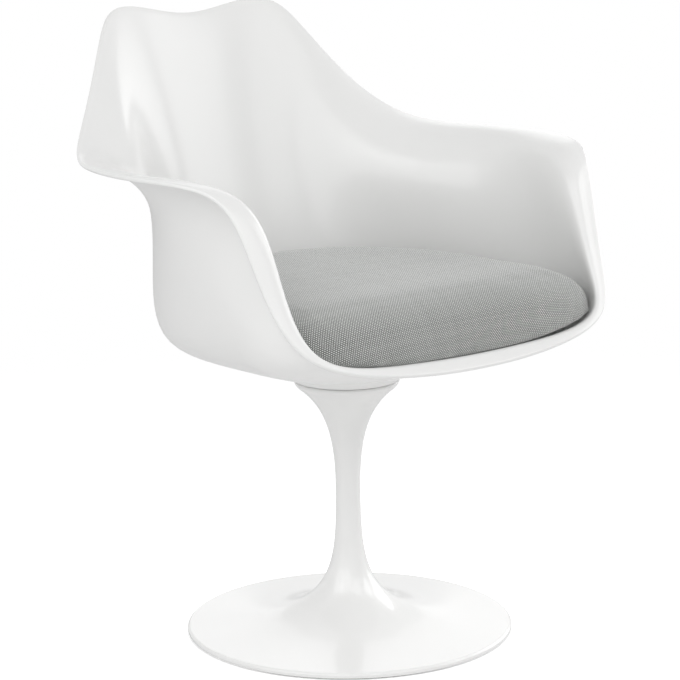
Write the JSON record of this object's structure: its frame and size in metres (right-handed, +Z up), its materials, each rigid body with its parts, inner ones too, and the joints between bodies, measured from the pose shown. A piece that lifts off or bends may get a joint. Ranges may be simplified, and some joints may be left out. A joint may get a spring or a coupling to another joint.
{
  "type": "pedestal swivel armchair",
  "caption": "Armchair with a one-piece moulded shell, a padded seat cushion and a trumpet pedestal on a round foot disc; the seat turns freely on the pedestal.",
  "frame": {"origin": "on the floor, on the swivel axis", "axes": "+Z up along the swivel axis, the chair faces -Y, the sitter's left is +X"},
  "size_m": [0.6578, 0.6015, 0.8021],
  "materials": {
    "shell_white": "gloss",
    "pedestal_white": "satin",
    "collar_white": "satin",
    "glide_grey": "matte",
    "bush_ivory": "satin",
    "bearing_steel": "polished",
    "cage_brass": "satin",
    "plated_steel": "satin",
    "pad_black": "matte",
    "lining_dark": "matte",
    "board_birch": "matte",
    "foam_cream": "matte",
    "cover_grey": "matte"
  },
  "bodies": {
    "pedestal": {"pedestal_base": "pedestal_white", "glide_ring": "glide_grey", "upper_bush": "bush_ivory", "lower_bush": "bush_ivory", "lower_race": "bearing_steel"},
    "bearing_cage": {"ball_cage": "cage_brass", "bearing_balls": "bearing_steel"},
    "seat": {"upper_race": "bearing_steel", "spindle": "plated_steel", "swivel_plate": "plated_steel", "retaining_washer": "plated_steel", "spring_washer": "plated_steel", "retaining_bolt": "plated_steel", "swivel_collar": "collar_white", "seat_shell": "shell_white", "hub_plate": "plated_steel", "seat_screws": "plated_steel", "hook_pads": "pad_black", "loop_pads": "pad_black", "cushion_underlining": "lining_dark", "cushion_board": "board_birch", "cushion_foam": "foam_cream", "cushion_cover": "cover_grey"}
  },
  "joints": [
    {"name": "seat_swivel", "type": "hinge", "parent": "pedestal", "child": "seat", "pos_m": [0, 0, 0.321], "axis": [0, 0, 1], "continuous": true},
    {"name": "cage_turn", "type": "hinge", "parent": "pedestal", "child": "bearing_cage", "pos_m": [0, 0, 0.3155], "axis": [0, 0, 1], "continuous": true}
  ],
  "couplings": [
    {"joint": "cage_turn", "follows": "seat_swivel", "ratio": 0.5}
  ]
}
